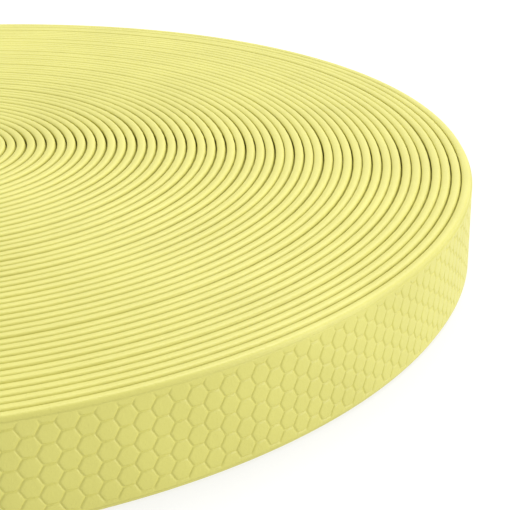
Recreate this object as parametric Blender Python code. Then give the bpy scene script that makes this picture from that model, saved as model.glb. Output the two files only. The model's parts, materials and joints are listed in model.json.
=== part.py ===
"""Flat roll of coated webbing.

One long strip is wound edge-up into a flat round coil: a woven carrier band inside a
coating that wraps it on all four sides and is open only at the two cut ends.
The last stretch of the outermost turn is the tail, the first stretch of the innermost
turn is the start. Both are free to bend, so each is a chain of short lengths, and every
length hangs on an empty that stands on its bending axis.

Metres, +Z up. The origin is the middle of the winding, on the surface that the roll lies on.
"""
import math

import bmesh
import bpy
from mathutils import Vector

# Strip
STRIP_WIDTH = 0.0206
STRIP_THICKNESS = 0.0021
COATING_WALL = 0.00045
CARRIER_WIDTH = 0.0193
CARRIER_THICKNESS = 0.0008

# Winding: turns are counted from the inner cut end, counterclockwise seen from above
OUTER_RADIUS = 0.1380
TURN_PITCH = 0.002375
TURNS = 50
END_AZIMUTH = math.radians(202.5)
FACETS_PER_TURN = 16

# Free ends
TAIL_LENGTHS = 6
TAIL_FACETS = 2
START_LENGTHS = 3
JOINT_GAP = 0.0003

FULL_TURN = 2 * math.pi
FACET_ANGLE = FULL_TURN / FACETS_PER_TURN
INNER_MID_RADIUS = OUTER_RADIUS - STRIP_THICKNESS / 2 - TURN_PITCH * TURNS
WINDING_END = FULL_TURN * TURNS
TAIL_STEP = TAIL_FACETS * FACET_ANGLE / TAIL_LENGTHS

COATING_COLOUR = (0.90, 0.86, 0.29, 1.0)
CARRIER_COLOUR = (0.86, 0.85, 0.78, 1.0)


def clear_scene():
    for thing in list(bpy.data.objects):
        bpy.data.objects.remove(thing, do_unlink=True)


def make_collection(name):
    collection = bpy.data.collections.new(name)
    bpy.context.scene.collection.children.link(collection)
    return collection


def make_material(name, colour, roughness):
    material = bpy.data.materials.new(name)
    material.use_nodes = True
    material.diffuse_color = colour
    shader = material.node_tree.nodes["Principled BSDF"]
    shader.inputs["Base Color"].default_value = colour
    shader.inputs["Roughness"].default_value = roughness
    shader.inputs["Metallic"].default_value = 0.0
    return material


def mid_radius(winding):
    """Radius of the strip's middle plane at a winding angle from the inner cut end."""
    return INNER_MID_RADIUS + TURN_PITCH * winding / FULL_TURN


def spiral_point(winding):
    azimuth = END_AZIMUTH + winding
    radius = mid_radius(winding)
    return Vector((radius * math.cos(azimuth), radius * math.sin(azimuth), STRIP_WIDTH / 2))


def stations(first, last, step):
    """Winding angles from first to last, a step apart, pulled in at both ends by half a gap."""
    count = round((last - first) / step)
    angles = [first + index * step for index in range(count + 1)]
    if first > 0:
        angles[0] += JOINT_GAP / 2 / mid_radius(first)
    if last < WINDING_END:
        angles[-1] -= JOINT_GAP / 2 / mid_radius(last)
    return angles


def make_flat_strip(width, thickness, count):
    """Straight strip of count lengths along X, one unit each, standing on edge."""
    strip = bmesh.new()
    bmesh.ops.create_cube(strip, size=1.0)
    bmesh.ops.translate(strip, vec=(0.5, 0.0, 0.0), verts=strip.verts)
    bmesh.ops.scale(strip, vec=(count, thickness, width), verts=strip.verts)
    long_edges = [edge for edge in strip.edges if abs(edge.verts[0].co.x - edge.verts[1].co.x) > 0.5]
    if count > 1:
        bmesh.ops.subdivide_edges(strip, edges=long_edges, cuts=count - 1)
    return strip


def hollow_out(strip, wall):
    """Leave a wall on the four long sides and open both ends."""
    ends = [face for face in strip.faces if abs(face.normal.x) > 0.5]
    bmesh.ops.delete(strip, geom=ends, context="FACES_ONLY")
    bmesh.ops.solidify(strip, geom=strip.faces[:], thickness=wall)


def wind(strip, angles, pivot):
    """Carry a straight strip onto the spiral, one station for each winding angle."""
    for vert in strip.verts:
        winding = angles[round(vert.co.x)]
        azimuth = END_AZIMUTH + winding
        radius = mid_radius(winding) - vert.co.y
        place = Vector((radius * math.cos(azimuth), radius * math.sin(azimuth), vert.co.z))
        vert.co = place + Vector((0.0, 0.0, STRIP_WIDTH / 2)) - pivot


def make_object(name, strip, material, collection):
    mesh = bpy.data.meshes.new(name)
    strip.to_mesh(mesh)
    strip.free()
    mesh.materials.append(material)
    band = bpy.data.objects.new(name, mesh)
    collection.objects.link(band)
    return band


def make_coating(name, angles, pivot, collection):
    strip = make_flat_strip(STRIP_WIDTH, STRIP_THICKNESS, len(angles) - 1)
    hollow_out(strip, COATING_WALL)
    wind(strip, angles, pivot)
    return make_object(name, strip, COATING, collection)


def make_carrier(name, angles, pivot, collection):
    strip = make_flat_strip(CARRIER_WIDTH, CARRIER_THICKNESS, len(angles) - 1)
    wind(strip, angles, pivot)
    return make_object(name, strip, CARRIER, collection)


def make_length(suffix, angles, pivot, parts, parent=None):
    """One length of strip: its coating and the carrier inside it, with their origin at the pivot."""
    coating = make_coating("coating" + suffix, angles, pivot, parts)
    carrier = make_carrier("carrier" + suffix, angles, pivot, parts)
    for band in (coating, carrier):
        band.parent = parent


def make_axis(name, winding, parent, parent_place, collection):
    """Empty on a bending axis: upright, through the strip's middle plane."""
    place = spiral_point(winding)
    axis = bpy.data.objects.new(name, None)
    axis.empty_display_size = STRIP_WIDTH / 2
    axis.location = place - parent_place
    axis.parent = parent
    collection.objects.link(axis)
    return axis, place


def build_wound_turns(parts):
    first = START_LENGTHS * FACET_ANGLE
    last = WINDING_END - TAIL_FACETS * FACET_ANGLE
    make_length("_wound", stations(first, last, FACET_ANGLE), Vector(), parts)


def build_tail(parts):
    parent, parent_place = None, Vector()
    for number in range(1, TAIL_LENGTHS + 1):
        first = WINDING_END - (TAIL_LENGTHS - number + 1) * TAIL_STEP
        axis, place = make_axis(f"tail_axis_{number}", first, parent, parent_place, parts)
        angles = stations(first, first + TAIL_STEP, TAIL_STEP)
        make_length(f"_tail_{number}", angles, place, parts, axis)
        parent, parent_place = axis, place


def build_start(parts):
    parent, parent_place = None, Vector()
    for number in range(1, START_LENGTHS + 1):
        last = (START_LENGTHS - number + 1) * FACET_ANGLE
        axis, place = make_axis(f"start_axis_{number}", last, parent, parent_place, parts)
        angles = stations(last - FACET_ANGLE, last, FACET_ANGLE)
        make_length(f"_start_{number}", angles, place, parts, axis)
        parent, parent_place = axis, place


clear_scene()
PARTS = make_collection("webbing_roll")
COATING = make_material("coating", COATING_COLOUR, 0.55)
CARRIER = make_material("carrier", CARRIER_COLOUR, 0.85)
build_wound_turns(PARTS)
build_tail(PARTS)
build_start(PARTS)
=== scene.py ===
"""Looks of the flat roll of coated webbing.

Every stretch of strip is made flat, in millimetres, with x along the strip, y through its
thickness towards the outside of the roll and z across its width. It is then wound onto the
spiral of the CAD model. The outermost turn and the stretch under the tail carry the
honeycomb emboss; the turns inside them touch their neighbours, so only their rims show.
Each free end is a chain of stretches, cut midway between its hinges.
"""
import json
import math

import bmesh
import bpy
import numpy as np
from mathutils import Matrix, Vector

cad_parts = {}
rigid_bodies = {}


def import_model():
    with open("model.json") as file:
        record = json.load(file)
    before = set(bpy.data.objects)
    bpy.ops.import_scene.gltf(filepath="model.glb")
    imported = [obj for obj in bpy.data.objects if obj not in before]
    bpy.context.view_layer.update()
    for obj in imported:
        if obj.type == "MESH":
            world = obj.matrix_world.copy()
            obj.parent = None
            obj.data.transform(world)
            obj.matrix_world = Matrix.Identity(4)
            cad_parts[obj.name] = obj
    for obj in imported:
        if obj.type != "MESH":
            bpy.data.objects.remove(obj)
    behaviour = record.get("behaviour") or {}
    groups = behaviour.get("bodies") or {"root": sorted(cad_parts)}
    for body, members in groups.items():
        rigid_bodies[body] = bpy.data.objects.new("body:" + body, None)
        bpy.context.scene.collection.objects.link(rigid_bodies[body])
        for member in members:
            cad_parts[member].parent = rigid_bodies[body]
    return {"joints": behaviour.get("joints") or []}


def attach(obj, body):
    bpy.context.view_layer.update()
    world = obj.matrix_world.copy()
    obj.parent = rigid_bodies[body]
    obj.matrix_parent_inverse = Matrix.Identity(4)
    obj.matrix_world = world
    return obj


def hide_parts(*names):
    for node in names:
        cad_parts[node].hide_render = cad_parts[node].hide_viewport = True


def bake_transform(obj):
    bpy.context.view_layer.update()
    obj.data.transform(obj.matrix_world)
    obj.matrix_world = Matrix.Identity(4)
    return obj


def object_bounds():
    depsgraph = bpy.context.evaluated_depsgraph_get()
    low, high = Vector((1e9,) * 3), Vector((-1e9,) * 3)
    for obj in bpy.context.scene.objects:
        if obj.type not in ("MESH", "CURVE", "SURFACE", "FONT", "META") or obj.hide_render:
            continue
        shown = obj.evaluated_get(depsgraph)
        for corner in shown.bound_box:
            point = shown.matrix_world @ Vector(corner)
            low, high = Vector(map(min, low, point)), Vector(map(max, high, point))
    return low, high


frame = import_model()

CAD_LOW, CAD_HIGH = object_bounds()

MM = 0.001
FULL_TURN = 2 * math.pi

# Strip and winding as in the CAD model, millimetres
STRIP_WIDTH = (CAD_HIGH.z - CAD_LOW.z) / MM
STRIP_THICKNESS = 2.1
COATING_WALL = 0.45
CARRIER_WIDTH = 19.3
CARRIER_THICKNESS = 0.8
OUTER_RADIUS = 138.0
TURN_PITCH = 2.375
TURNS = 50
END_AZIMUTH = math.radians(202.5)

HALF_THICKNESS = STRIP_THICKNESS / 2
INNER_MID_RADIUS = OUTER_RADIUS - HALF_THICKNESS - TURN_PITCH * TURNS
GROWTH = TURN_PITCH / FULL_TURN
WINDING_END = FULL_TURN * TURNS

# Rounded rims of the coating: the crest lies nearer the inner face, so the outer side falls softer.
# A rim is how far the coating falls from its crest to that face; a roundness of 2 is an ellipse.
CREST = -0.15
OUTER_RIM = 1.05
INNER_RIM = 0.60
OUTER_ROUNDNESS = 2.6
INNER_ROUNDNESS = 2.4
UPPER_RIM_STEPS = 12
LOWER_RIM_STEPS = 8
RIM_SUPPORT = 0.7
# Edges of the carrier that turn by more than this, in radians, stay sharp
SHARP_EDGE = 0.5

# Honeycomb emboss: regular hexagons with a flat top, in staggered columns
HEX_CORNERS = 6
HEX_SIDE = 2.12
ROW_PITCH = math.sqrt(3) * HEX_SIDE
COLUMN_PITCH = 1.5 * HEX_SIDE
TILE_LENGTH = 2 * COLUMN_PITCH
TOP_CELL_DEPTH = 0.135 * ROW_PITCH
COLUMN_AZIMUTH = math.radians(-67.50)
GROOVE_DEPTH = 0.21
# How far in from the groove's middle each ring of a pad lies in mm, and its height in groove depths
PAD_RINGS = ((0.07, -0.93), (0.15, -0.58), (0.23, -0.22), (0.36, -0.04), (0.70, 0.01), (1.25, 0.0))
PAD_CROWN = -0.01
# Each corner of a ring is cut off by this share of a side
CORNER_SHARE = 0.08
# Distances from the strip's edges: where the embossed sheet is trimmed and where the emboss fades
EMBOSS_MARGIN = 1.10
FADE_END = 1.14
FADE_START = 2.20
FADE_STEPS = 3

# A tile of the honeycomb is two columns long, so three stations bound it
TILE_COLUMNS = 2

# Tolerances of the mesh work: vertices that are one, a row's level, cuts along and across the strip
MERGE_DISTANCE = 1e-3
ROW_TOLERANCE = 1e-4
LEVEL_CUT_TOLERANCE = 1e-5
SQUARE_CUT_TOLERANCE = 1e-4

# Stretches of the wound turns
EMBOSS_START = WINDING_END - math.radians(417.0)
EMBOSS_CUTS = (WINDING_END - math.radians(277.5), WINDING_END - math.radians(97.5))
PLAIN_PIECES = 3

# Free ends, in lengths of strip between two hinges: how far a blend reaches to each side of its
# hinge, the share of the first blend that is done where its neighbour takes over, and how far
# before the first hinge the tail and the start begin
BLEND_REACH = 1.366
MEETING_SHARE = 0.683
TAIL_LEAD = 0.6
START_LEAD = 1.0

# Largest sag between the facets and the spiral
FLATNESS = 0.04

# The outer turns are pulled tighter than the rest: by how much, and over how many turns
OUTER_PULL = 0.9
PULL_TURNS = 6.0

# The turns midway between the eye and the rim stand a little further out than even winding
MIDDLE_SWELL = 1.10

# The coil is a very shallow cone: how much higher its innermost turn lies than its outermost
CONE_RISE = 0.8

# The roll is slightly three-cornered, as a share of its radius
CORNERS = 3
OUT_OF_ROUND = -0.0072

# Small unevenness of a wound roll: amplitude in mm, waves per turn, phase in radians
DRIFT_WAVES = ((0.040, 0.37, 0.4), (0.024, 1.61, 2.1))
LIFT_WAVES = ((0.050, 0.43, 1.3), (0.035, 1.27, 0.2))

# Cut yarns at the two ends
YARN_ROWS = 2
YARN_COUNT = 34
YARN_LENGTH = 0.9
YARN_SIDES = 8
# A yarn is slightly slimmer than its pitch at its root and where it starts to taper, and at its tip
ROOT_FULLNESS, TAPER_FULLNESS, TIP_FULLNESS = 0.98, 0.96, 0.62
TAPER_SHARE = 0.12
# Yarns end unevenly: by how much in mm, and how fast that changes from yarn to yarn and row to row
YARN_FRAY = 0.10
FRAY_RATE = 2.4
FRAY_ROW_SHIFT = 1.9


# ---------------------------------------------------------------- winding


def winding_at(length):
    """Winding angle at a length of strip, measured along its middle from the inner cut end."""
    return (np.sqrt(INNER_MID_RADIUS**2 + 2 * GROWTH * length) - INNER_MID_RADIUS) / GROWTH


def length_at(winding):
    return INNER_MID_RADIUS * winding + GROWTH * winding**2 / 2


def waves(winding, terms):
    return sum(size * np.sin(rate * winding + phase) for size, rate, phase in terms)


def spiral_points(winding, outward, height):
    """Places on the spiral in metres; outward is measured from the strip's middle plane."""
    azimuth = END_AZIMUTH + winding
    rounding = 1 + OUT_OF_ROUND * np.cos(CORNERS * azimuth)
    regular = (INNER_MID_RADIUS + GROWTH * winding) * rounding
    pull = OUTER_PULL * np.exp((winding - WINDING_END) / (FULL_TURN * PULL_TURNS))
    swell = MIDDLE_SWELL * np.sin(math.pi * winding / WINDING_END) ** 2
    radius = regular - pull + swell + waves(winding, DRIFT_WAVES) + outward
    lift = waves(winding, LIFT_WAVES) + sum(size for size, _, _ in LIFT_WAVES)
    lift = lift + CONE_RISE * np.cos(math.pi / 2 * winding / WINDING_END) ** 2
    place = (radius * np.cos(azimuth), radius * np.sin(azimuth), height + lift)
    return MM * np.stack(place, axis=-1)


def wind(strip, start_length):
    """Carry a flat mesh onto the spiral. Winding turns it inside out, so its faces are flipped."""
    flat = np.empty(len(strip.vertices) * 3, np.float32)
    strip.vertices.foreach_get("co", flat)
    flat = flat.reshape(-1, 3).astype(float)
    wound = spiral_points(winding_at(start_length + flat[:, 0]), flat[:, 1], flat[:, 2])
    strip.vertices.foreach_set("co", wound.astype(np.float32).ravel())
    strip.flip_normals()
    strip.update()


def stations(first, last):
    """Lengths along a stretch, close enough together for its facets to follow the spiral."""
    windings = [first]
    while windings[-1] < last:
        radius = INNER_MID_RADIUS + GROWTH * windings[-1]
        windings.append(windings[-1] + math.sqrt(8 * radius * FLATNESS) / radius)
    step = (last - first) / (len(windings) - 1)
    even = [first + step * index for index in range(len(windings))]
    return [float(length_at(winding)) for winding in even]


# ---------------------------------------------------------------- sections of the strip


def rim(side, steps):
    """(y, z) over one rim, from the outer face to the inner face; side is 1 on top, -1 below."""
    points = []
    for index in range(steps + 1):
        turn = math.pi * index / steps
        across, up = math.cos(turn), math.sin(turn)
        reach = HALF_THICKNESS - math.copysign(CREST, across)
        drop, roundness = INNER_RIM, INNER_ROUNDNESS
        if across > 0:
            drop, roundness = OUTER_RIM, OUTER_ROUNDNESS
        y = CREST + math.copysign(abs(across) ** (2 / roundness), across) * reach
        level = drop * (1 - abs(up) ** (2 / roundness))
        points.append((y, STRIP_WIDTH - level if side > 0 else level))
    return points


def coating_outline():
    upper = rim(1, UPPER_RIM_STEPS)
    lower = rim(-1, LOWER_RIM_STEPS)
    low, high = OUTER_RIM + RIM_SUPPORT, STRIP_WIDTH - OUTER_RIM - RIM_SUPPORT
    inner_face = [(-HALF_THICKNESS, high), (-HALF_THICKNESS, low)]
    outer_face = [(HALF_THICKNESS, low), (HALF_THICKNESS, high)]
    return upper + inner_face + lower[::-1] + outer_face


def box_outline(thickness, width):
    y, low, high = thickness / 2, (STRIP_WIDTH - width) / 2, (STRIP_WIDTH + width) / 2
    return [(y, high), (-y, high), (-y, low), (y, low)]


def channel_outline():
    return box_outline(STRIP_THICKNESS - 2 * COATING_WALL, STRIP_WIDTH - 2 * COATING_WALL)


def sweep(strip, outline, lengths, closed_ends):
    """Skin an outline along the strip. Returns the edge loops at its two ends."""
    rows = [[strip.verts.new((length, y, z)) for y, z in outline] for length in lengths]
    for before, after in zip(rows, rows[1:]):
        for index in range(len(outline)):
            strip.faces.new((before[index - 1], before[index], after[index], after[index - 1]))
    ends = (rows[0], rows[-1])
    if closed_ends:
        for row in ends:
            strip.faces.new(row)
    return [[strip.edges.get((row[i - 1], row[i])) for i in range(len(row))] for row in ends]


def close_cut(strip, edges):
    bmesh.ops.triangle_fill(strip, edges=edges, use_beauty=True)
    for edge in edges:
        edge.smooth = False


def plain_coating(first, last):
    """Flat stretch of coating with smooth faces and an open channel for the carrier."""
    lengths = stations(first, last)
    start = lengths[0]
    lengths = [length - start for length in lengths]
    strip = bmesh.new()
    outer = sweep(strip, coating_outline(), lengths, closed_ends=False)
    inner = sweep(strip, channel_outline(), lengths, closed_ends=False)
    for outer_loop, inner_loop in zip(outer, inner):
        close_cut(strip, outer_loop + inner_loop)
    return strip, start


def plain_carrier(first, last, yarns_at=None):
    lengths = stations(first, last)
    start = lengths[0]
    lengths = [length - start for length in lengths]
    if yarns_at == "start":
        lengths[0] += YARN_LENGTH
    if yarns_at == "end":
        lengths[-1] -= YARN_LENGTH
    strip = bmesh.new()
    sweep(strip, box_outline(CARRIER_THICKNESS, CARRIER_WIDTH), lengths, closed_ends=True)
    for edge in strip.edges:
        edge.smooth = len(edge.link_faces) == 2 and edge.calc_face_angle(0) < SHARP_EDGE
    if yarns_at:
        tip = 0.0 if yarns_at == "start" else lengths[-1] + YARN_LENGTH
        add_yarns(strip, lengths[0] if yarns_at == "start" else lengths[-1], tip)
    return strip, start


def yarn_ring(strip, middle, half_height, half_width):
    """Oval of vertices round a yarn."""
    x, y, z = middle
    turns = [FULL_TURN * side / YARN_SIDES for side in range(YARN_SIDES)]
    return [
        strip.verts.new((x, y + half_height * math.cos(turn), z + half_width * math.sin(turn)))
        for turn in turns
    ]


def add_yarns(strip, root, tip):
    """Cut warp yarns that reach from the carrier's body to the cut end, each a little uneven."""
    pitch = CARRIER_WIDTH / YARN_COUNT
    half_height = CARRIER_THICKNESS / YARN_ROWS / 2
    for row in range(YARN_ROWS):
        for index in range(YARN_COUNT):
            z = (STRIP_WIDTH - CARRIER_WIDTH) / 2 + pitch * (index + 0.5)
            y = (row + 0.5) * 2 * half_height - CARRIER_THICKNESS / 2
            uneven = math.sin(FRAY_RATE * index + FRAY_ROW_SHIFT * row)
            end = tip + YARN_FRAY * uneven * math.copysign(1, tip - root)
            taper = end - (end - root) * TAPER_SHARE
            sections = ((root, ROOT_FULLNESS), (taper, TAPER_FULLNESS), (end, TIP_FULLNESS))
            rows = [
                yarn_ring(strip, (x, y, z), half_height * fullness, pitch / 2 * fullness)
                for x, fullness in sections
            ]
            for before, after in zip(rows, rows[1:]):
                for side in range(YARN_SIDES):
                    strip.faces.new((before[side - 1], before[side], after[side], after[side - 1]))
            strip.faces.new(rows[0])
            strip.faces.new(rows[-1])


# ---------------------------------------------------------------- honeycomb


def add_pad(sheet, x, z):
    """One raised hexagon, ringed from the groove round it to its slightly crowned middle."""
    apothem = ROW_PITCH / 2
    turns = [FULL_TURN * k / HEX_CORNERS for k in range(HEX_CORNERS)]
    corners = [Vector((math.cos(turn), 0, math.sin(turn))) * HEX_SIDE for turn in turns]
    middle = Vector((x, 0, z))
    depth = Vector((0, -GROOVE_DEPTH, 0))
    groove = [sheet.verts.new(middle + corner + depth) for corner in corners]
    rings = []
    for inset, height in PAD_RINGS:
        scale = 1 - inset / apothem
        raised = Vector((0, height * GROOVE_DEPTH, 0))
        ring = []
        for k in range(HEX_CORNERS):
            here, there = corners[k] * scale, corners[(k + 1) % HEX_CORNERS] * scale
            for share in (CORNER_SHARE, 1 - CORNER_SHARE):
                ring.append(sheet.verts.new(middle + here.lerp(there, share) + raised))
        rings.append(ring)
    outermost = rings[0]
    for k in range(HEX_CORNERS):
        first, second = outermost[2 * k], outermost[2 * k + 1]
        sheet.faces.new((groove[k], groove[(k + 1) % HEX_CORNERS], second, first))
        sheet.faces.new((groove[k], first, outermost[2 * k - 1]))
    for before, after in zip(rings, rings[1:]):
        for k in range(len(before)):
            sheet.faces.new((before[k - 1], before[k], after[k], after[k - 1]))
    crown = sheet.verts.new(middle + Vector((0, PAD_CROWN * GROOVE_DEPTH, 0)))
    innermost = rings[-1]
    for k in range(len(innermost)):
        sheet.faces.new((innermost[k - 1], innermost[k], crown))


def slice_level(sheet, level, drop=0):
    """Cut the sheet at a height z; drop 1 removes what lies above it, -1 what lies below."""
    bmesh.ops.bisect_plane(
        sheet,
        geom=sheet.verts[:] + sheet.edges[:] + sheet.faces[:],
        dist=LEVEL_CUT_TOLERANCE,
        plane_co=(0, 0, level),
        plane_no=(0, 0, 1),
        clear_outer=drop > 0,
        clear_inner=drop < 0,
    )


def fade(z):
    """Share of the emboss at a height z: it dies out before the rounded rims."""
    margin = min(z, STRIP_WIDTH - z)
    share = min(max((margin - FADE_END) / (FADE_START - FADE_END), 0.0), 1.0)
    return share * share * (3 - 2 * share)


def row_of(sheet, level):
    """Vertices at a height z, in order along the strip."""
    found = [v for v in sheet.verts if abs(v.co.z - level) < ROW_TOLERANCE]
    return sorted(found, key=lambda v: v.co.x)


def zip_rows(sheet, first, second):
    """Triangles between two rows of vertices that start and end at the same length."""
    i = j = 0
    while i < len(first) - 1 or j < len(second) - 1:
        step_first = j == len(second) - 1 or (
            i < len(first) - 1 and first[i + 1].co.x <= second[j + 1].co.x
        )
        if step_first:
            sheet.faces.new((first[i], first[i + 1], second[j]))
            i += 1
        else:
            sheet.faces.new((first[i], second[j + 1], second[j]))
            j += 1


def tile_rows(sheet, start, section):
    """For each (y, z) of a section, vertices at the bounds of the tile's columns."""
    bounds = [start + COLUMN_PITCH * column for column in range(TILE_COLUMNS + 1)]
    return [[sheet.verts.new((x, y, z)) for x in bounds] for y, z in section]


def honeycomb_tile():
    """Two columns of pads with the rims, the inner face and the channel behind them."""
    sheet = bmesh.new()
    rows = math.ceil(STRIP_WIDTH / ROW_PITCH) + 1
    for column in range(TILE_COLUMNS):
        for row in range(rows):
            depth = TOP_CELL_DEPTH + (row + 0.5 * column) * ROW_PITCH
            add_pad(sheet, column * COLUMN_PITCH, STRIP_WIDTH - depth)
    bmesh.ops.remove_doubles(sheet, verts=sheet.verts[:], dist=MERGE_DISTANCE)

    low, high = EMBOSS_MARGIN, STRIP_WIDTH - EMBOSS_MARGIN
    slice_level(sheet, high, drop=1)
    slice_level(sheet, low, drop=-1)
    for index in range(FADE_STEPS + 1):
        margin = FADE_END + (FADE_START - FADE_END) * index / FADE_STEPS
        slice_level(sheet, margin)
        slice_level(sheet, STRIP_WIDTH - margin)
    for vert in sheet.verts:
        vert.co.y = HALF_THICKNESS + vert.co.y * fade(vert.co.z)

    upper, lower = row_of(sheet, high), row_of(sheet, low)
    upper_start, lower_start = upper[0].co.x, lower[0].co.x
    upper_rim = tile_rows(sheet, upper_start, rim(1, UPPER_RIM_STEPS))
    lower_rim = tile_rows(sheet, lower_start, rim(-1, LOWER_RIM_STEPS))
    upper_support, lower_support = STRIP_WIDTH - OUTER_RIM - RIM_SUPPORT, OUTER_RIM + RIM_SUPPORT
    support = tile_rows(sheet, upper_start, [(-HALF_THICKNESS, upper_support)])
    support += tile_rows(sheet, lower_start, [(-HALF_THICKNESS, lower_support)])
    zip_rows(sheet, upper, upper_rim[0])
    zip_rows(sheet, lower, lower_rim[0])
    around = upper_rim + support + lower_rim[::-1]
    channel = tile_rows(sheet, upper_start, channel_outline())
    for skin in (around, channel + channel[:1]):
        for before, after in zip(skin, skin[1:]):
            for k in range(TILE_COLUMNS):
                sheet.faces.new((before[k], before[k + 1], after[k + 1], after[k]))
    mesh = bpy.data.meshes.new("honeycomb_tile")
    sheet.to_mesh(mesh)
    sheet.free()
    return mesh


def cut_square(strip, length, drop):
    """Cut the strip square at a length, drop one side and close the cut; drop 1 is past it."""
    cut = bmesh.ops.bisect_plane(
        strip,
        geom=strip.verts[:] + strip.edges[:] + strip.faces[:],
        dist=SQUARE_CUT_TOLERANCE,
        plane_co=(length, 0, 0),
        plane_no=(1, 0, 0),
        clear_outer=drop > 0,
        clear_inner=drop < 0,
    )
    close_cut(strip, [part for part in cut["geom_cut"] if isinstance(part, bmesh.types.BMEdge)])


def embossed_coating(first, last):
    """Flat stretch of coating with the honeycomb, cut from a run of tiles."""
    first_length, last_length = float(length_at(first)), float(length_at(last))
    column_winding = WINDING_END + COLUMN_AZIMUTH - END_AZIMUTH
    phase = float(length_at(column_winding)) % TILE_LENGTH
    start = phase + TILE_LENGTH * (math.floor((first_length - phase) / TILE_LENGTH) - 1)
    count = math.ceil((last_length - start) / TILE_LENGTH) + 2

    tile = bpy.data.objects.new("honeycomb_tile", honeycomb_tile())
    bpy.context.scene.collection.objects.link(tile)
    columns = tile.modifiers.new("columns", "ARRAY")
    columns.use_relative_offset = False
    columns.use_constant_offset = True
    columns.constant_offset_displace = (TILE_LENGTH, 0, 0)
    columns.count = count
    columns.use_merge_vertices = True
    columns.merge_threshold = MERGE_DISTANCE
    graph = bpy.context.evaluated_depsgraph_get()
    run = bpy.data.meshes.new_from_object(tile.evaluated_get(graph))
    strip = bmesh.new()
    strip.from_mesh(run)
    bpy.data.meshes.remove(run)
    bpy.data.meshes.remove(tile.data)

    cut_square(strip, first_length - start, drop=-1)
    cut_square(strip, last_length - start, drop=1)
    return strip, start


# ---------------------------------------------------------------- materials

# Colours at the two ends of a ramp, which lie at these values of its noise
RAMP_ENDS = (0.30, 0.70)
COATING_COLOURS = ((0.568, 0.535, 0.121), (0.610, 0.576, 0.136))
CARRIER_COLOURS = ((0.60, 0.585, 0.48), (0.76, 0.75, 0.66))

# Noises: scale, detail, roughness
PATCHES = (45.0, 3.0, 0.5)
SHEEN = (900.0, 2.0, 0.6)
GRAIN = (4200.0, 2.0, 0.6)
RIPPLE = (1900.0, 2.0, 0.5)
FIBRES = (6000.0, 3.0, 0.6)

# Bumps: strength, distance in metres
GRAIN_BUMP = (0.60, 0.00006)
RIPPLE_BUMP = (0.50, 0.00012)
FIBRE_BUMP = (0.8, 0.00005)

COATING_ROUGHNESS = (0.42, 0.56)
COATING_SPECULAR = 0.60
CARRIER_ROUGHNESS = 0.85
CARRIER_SHEEN = 0.3
FLOOR_COLOUR = (0.25, 0.25, 0.25, 1.0)
FLOOR_ROUGHNESS = 0.9
FLOOR_SPECULAR = 0.1
WHITE = (1.0, 1.0, 1.0, 1.0)


def new_material(name):
    material = bpy.data.materials.new(name)
    material.use_nodes = True
    tree = material.node_tree
    return material, tree, tree.nodes["Principled BSDF"]


def noise(tree, vector, scale, detail, roughness):
    texture = tree.nodes.new("ShaderNodeTexNoise")
    texture.inputs["Scale"].default_value = scale
    texture.inputs["Detail"].default_value = detail
    texture.inputs["Roughness"].default_value = roughness
    tree.links.new(vector, texture.inputs["Vector"])
    return texture.outputs["Fac"]


def ramp(tree, value, colours):
    node = tree.nodes.new("ShaderNodeValToRGB")
    for element, place, colour in zip(node.color_ramp.elements, RAMP_ENDS, colours):
        element.position = place
        element.color = (*colour, 1.0)
    tree.links.new(value, node.inputs["Fac"])
    return node.outputs["Color"]


def bump(tree, height, strength, distance, below=None):
    node = tree.nodes.new("ShaderNodeBump")
    node.inputs["Strength"].default_value = strength
    node.inputs["Distance"].default_value = distance
    tree.links.new(height, node.inputs["Height"])
    if below:
        tree.links.new(below, node.inputs["Normal"])
    return node.outputs["Normal"]


def coating_material():
    """Matte thermoplastic skin: even lemon yellow with a fine cast grain."""
    material, tree, shader = new_material("coating")
    place = tree.nodes.new("ShaderNodeTexCoord").outputs["Object"]
    colour = ramp(tree, noise(tree, place, *PATCHES), COATING_COLOURS)
    tree.links.new(colour, shader.inputs["Base Color"])
    sheen = noise(tree, place, *SHEEN)
    level = tree.nodes.new("ShaderNodeMapRange")
    level.inputs["To Min"].default_value, level.inputs["To Max"].default_value = COATING_ROUGHNESS
    tree.links.new(sheen, level.inputs["Value"])
    tree.links.new(level.outputs["Result"], shader.inputs["Roughness"])
    grain = bump(tree, noise(tree, place, *GRAIN), *GRAIN_BUMP)
    ripple = bump(tree, noise(tree, place, *RIPPLE), *RIPPLE_BUMP, below=grain)
    tree.links.new(ripple, shader.inputs["Normal"])
    shader.inputs["Specular IOR Level"].default_value = COATING_SPECULAR
    return material


def carrier_material():
    """Raw woven polyester: off-white yarn with a fine twist."""
    material, tree, shader = new_material("carrier")
    place = tree.nodes.new("ShaderNodeTexCoord").outputs["Object"]
    fibres = noise(tree, place, *FIBRES)
    tree.links.new(ramp(tree, fibres, CARRIER_COLOURS), shader.inputs["Base Color"])
    tree.links.new(bump(tree, fibres, *FIBRE_BUMP), shader.inputs["Normal"])
    shader.inputs["Roughness"].default_value = CARRIER_ROUGHNESS
    shader.inputs["Sheen Weight"].default_value = CARRIER_SHEEN
    return material


def floor_material():
    """Plain pale floor with a glow of its own, so that it stays white as in the picture."""
    material, _, shader = new_material("floor")
    shader.inputs["Base Color"].default_value = FLOOR_COLOUR
    shader.inputs["Roughness"].default_value = FLOOR_ROUGHNESS
    shader.inputs["Specular IOR Level"].default_value = FLOOR_SPECULAR
    shader.inputs["Emission Color"].default_value = WHITE
    shader.inputs["Emission Strength"].default_value = FLOOR_GLOW
    return material


# ---------------------------------------------------------------- pieces


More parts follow.
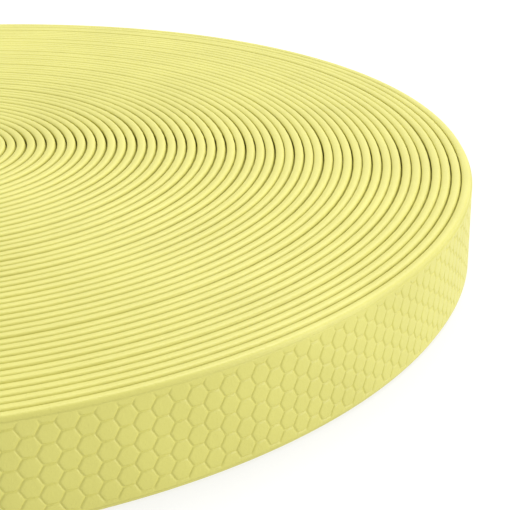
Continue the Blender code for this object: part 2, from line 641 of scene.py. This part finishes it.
def make_piece(name, made, material, node):
    """Wind a flat stretch, give it its finish and let it stand for its CAD node."""
    strip, start = made
    bmesh.ops.recalc_face_normals(strip, faces=strip.faces[:])
    mesh = bpy.data.meshes.new(name)
    strip.to_mesh(mesh)
    strip.free()
    mesh.shade_smooth()
    wind(mesh, start)
    mesh.materials.append(material)
    piece = bpy.data.objects.new(name, mesh)
    bpy.context.scene.collection.objects.link(piece)
    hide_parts(node)
    return piece


def joint_azimuth(joint):
    return math.atan2(joint["pos_m"][1], joint["pos_m"][0])


def chain(prefix):
    """Joints of a free end, in their order from the coil out."""
    return [joint for joint in frame["joints"] if joint["name"].startswith(prefix)]


def bending_spans(joints, hinges, lead, tip):
    """(near, far, parent, child, blend start, blend end) for each length, from the coil to the tip.

    The blend reaches past the length's ends.
    """
    step = hinges[1] - hinges[0]
    cuts = [hinges[0] - lead * step] + [hinge + step / 2 for hinge in hinges[:-1]] + [tip]
    spans = []
    for index, joint in enumerate(joints):
        begin, end = hinges[index] - BLEND_REACH * step, hinges[index] + BLEND_REACH * step
        if index == 0:
            begin, end = cuts[0], cuts[0] + (cuts[1] - cuts[0]) / MEETING_SHARE
        spans.append((cuts[index], cuts[index + 1], joint["parent"], joint["child"], begin, end))
    return spans


def tail_spans():
    joints = chain("tail_bend")
    hinges = [WINDING_END - (END_AZIMUTH - joint_azimuth(joint)) % FULL_TURN for joint in joints]
    return bending_spans(joints, hinges, TAIL_LEAD, WINDING_END)


def start_spans():
    joints = chain("start_bend")
    hinges = [(joint_azimuth(joint) - END_AZIMUTH) % FULL_TURN for joint in joints]
    return bending_spans(joints, hinges, START_LEAD, 0.0)


def build_free_end(label, spans, coat):
    for index, (near, far, parent, child, begin, end) in enumerate(spans, 1):
        first, last = sorted((near, far))
        yarns_at = None
        if index == len(spans):
            yarns_at = "start" if far < near else "end"
        name, node = f"coat_{label}_{index}", f"coating_{child}"
        coating = make_piece(name, coat(first, last), COATING, node)
        name, node = f"band_{label}_{index}", f"carrier_{child}"
        carrier = make_piece(name, plain_carrier(first, last, yarns_at), CARRIER, node)
        for piece in (coating, carrier):
            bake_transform(piece)


def build_wound_turns(first, last):
    step = (length_at(EMBOSS_START) - length_at(first)) / PLAIN_PIECES
    cuts = [float(winding_at(length_at(first) + step * index)) for index in range(PLAIN_PIECES + 1)]
    made = (
        ("turns", plain_coating, cuts),
        ("outer_turn", embossed_coating, [EMBOSS_START, *EMBOSS_CUTS, last]),
    )
    for label, coat, windings in made:
        for index, (begin, end) in enumerate(zip(windings, windings[1:]), 1):
            name = f"coat_{label}_{index}"
            piece = make_piece(name, coat(begin, end), COATING, "coating_wound")
            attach(piece, "coil")
    band = make_piece("band_turns", plain_carrier(first, last), CARRIER, "carrier_wound")
    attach(band, "coil")


# ---------------------------------------------------------------- stage

# Camera: place in metres, downward tilt and roll in degrees, lens and sensor in millimetres
CAMERA_PLACE = (0.08435, -0.31133, 0.12326)
CAMERA_TILT = 22.56
CAMERA_ROLL = -0.37
CAMERA_LENS = 96.7
SENSOR_WIDTH = 36.0
CLIP_START = 0.01

# Floor, with its side in metres, and the even light of the surroundings
FLOOR_SIZE = 8.0
FLOOR_SQUARES = 4
FLOOR_GLOW = 0.73
WORLD_STRENGTH = 0.84
# Soft disk lights: name, place in metres, diameter in metres, power in watts
LIGHTS = (
    ("key", (0.45, 0.70, 1.28), 1.2, 15.8),
    ("left", (-1.00, 0.35, 1.00), 1.0, 2.8),
    ("fill", (1.25, -0.16, 0.28), 0.5, 6.2),
)


def build_stage():
    bpy.ops.mesh.primitive_grid_add(
        x_subdivisions=FLOOR_SQUARES, y_subdivisions=FLOOR_SQUARES, size=FLOOR_SIZE
    )
    floor = bpy.context.object
    floor.name = "floor"
    floor.data.materials.append(floor_material())

    world = bpy.data.worlds.new("studio")
    bpy.context.scene.world = world
    world.use_nodes = True
    background = world.node_tree.nodes["Background"]
    background.inputs["Color"].default_value = WHITE
    background.inputs["Strength"].default_value = WORLD_STRENGTH

    for name, place, diameter, power in LIGHTS:
        lamp = bpy.data.lights.new(name, "AREA")
        lamp.shape = "DISK"
        lamp.size = diameter
        lamp.energy = power
        light = bpy.data.objects.new(name, lamp)
        light.location = place
        light.rotation_euler = (-light.location).to_track_quat("-Z", "Y").to_euler()
        bpy.context.scene.collection.objects.link(light)


def build_camera():
    lens = bpy.data.cameras.new("camera")
    lens.lens = CAMERA_LENS
    lens.sensor_width = SENSOR_WIDTH
    lens.clip_start = CLIP_START
    camera = bpy.data.objects.new("camera", lens)
    camera.location = CAMERA_PLACE
    camera.rotation_euler = (math.radians(90 - CAMERA_TILT), 0.0, 0.0)
    camera.rotation_euler.rotate_axis("Z", math.radians(CAMERA_ROLL))
    bpy.context.scene.collection.objects.link(camera)
    bpy.context.scene.camera = camera
    bpy.context.scene.view_settings.view_transform = "Standard"


COATING = coating_material()
CARRIER = carrier_material()
tail = tail_spans()
start = start_spans()
build_wound_turns(start[0][0], tail[0][0])
build_free_end("tail", tail, embossed_coating)
build_free_end("start", start, plain_coating)
build_stage()
build_camera()
